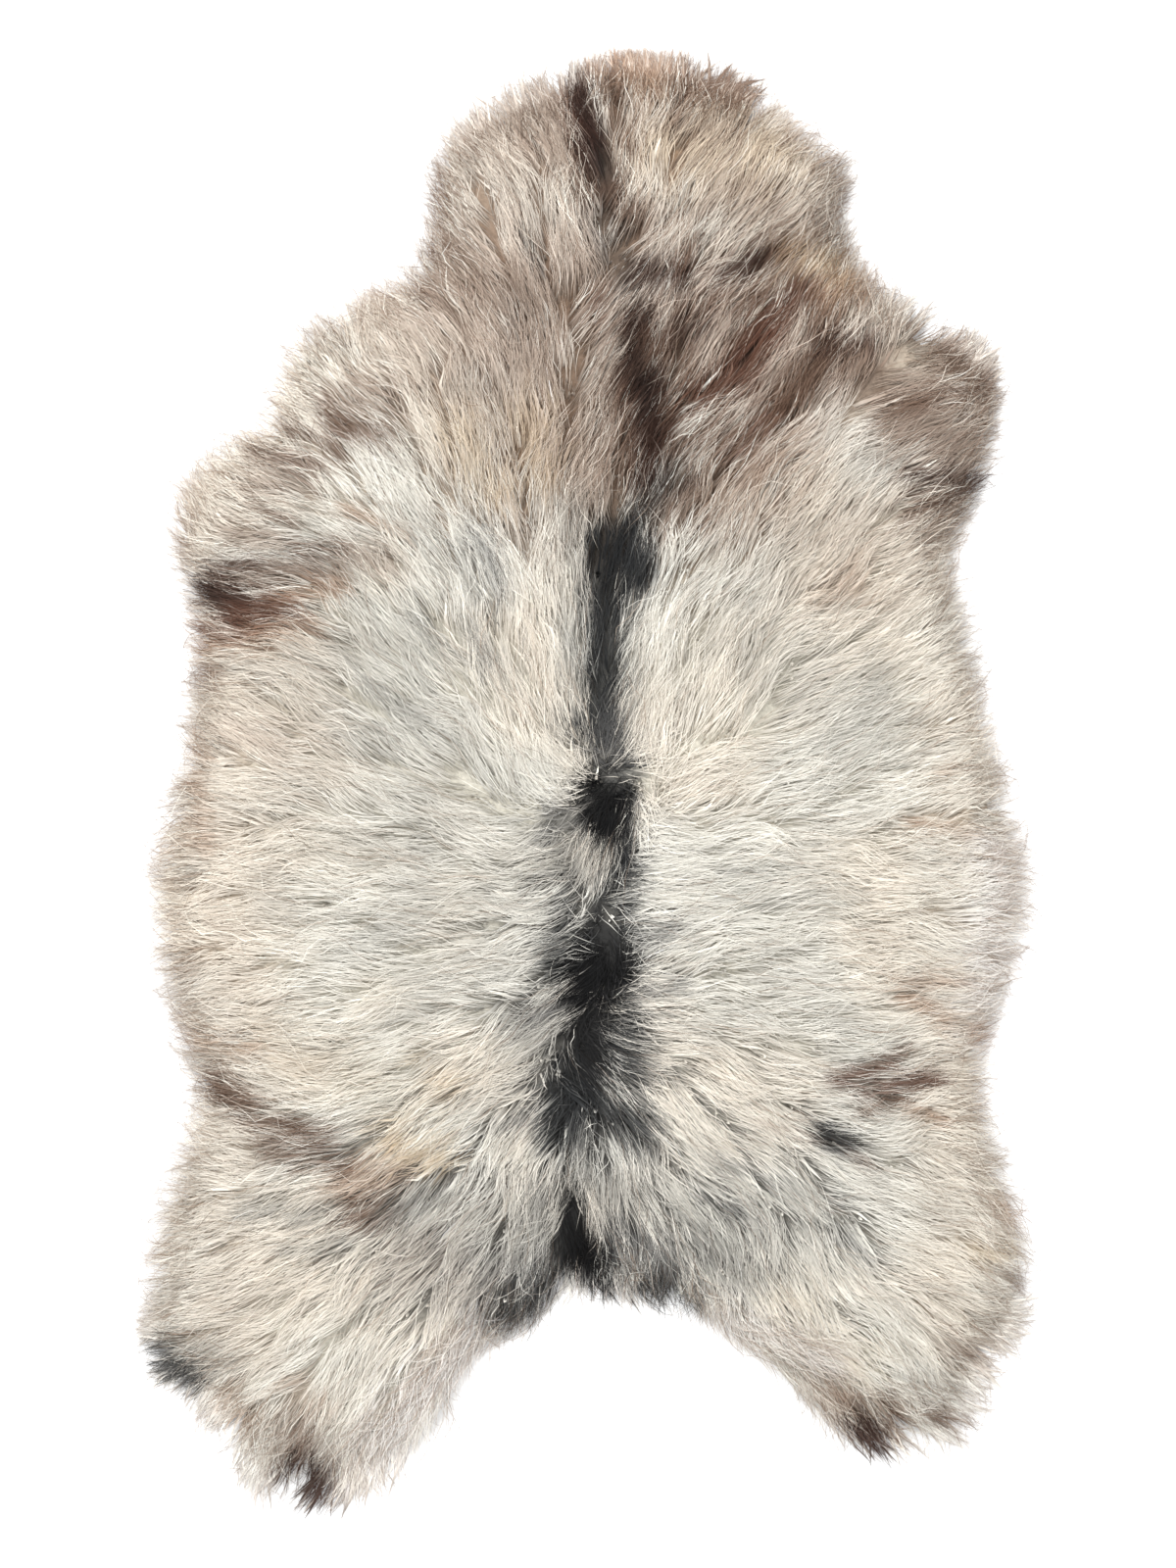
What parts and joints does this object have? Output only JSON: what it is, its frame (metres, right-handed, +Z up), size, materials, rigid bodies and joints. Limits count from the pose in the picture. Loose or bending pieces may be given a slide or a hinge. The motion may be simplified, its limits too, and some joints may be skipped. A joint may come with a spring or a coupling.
{
  "type": "icelandic sheepskin",
  "caption": "Whole long-haired sheepskin laid flat, wool side up, with neck, shoulders, hind legs and tail tuft, and pointed locks all round its rim.",
  "frame": {"origin": "on the floor under the middle of the pelt's bounding box", "axes": "+Z up, +Y from the tail to the neck, +X to the right with the wool side up and the neck away from the viewer"},
  "size_m": [0.6982, 1.1306, 0.0431],
  "materials": {
    "wool": "long combed wool, ivory with grey undercoat, brown and black markings and a dark stripe down the back, soft sheen",
    "hide": "tanned skin, flesh side sueded, pale cream, matt"
  },
  "bodies": {
    "root": {"fleece": "wool", "hide": "hide"}
  },
  "joints": []
}
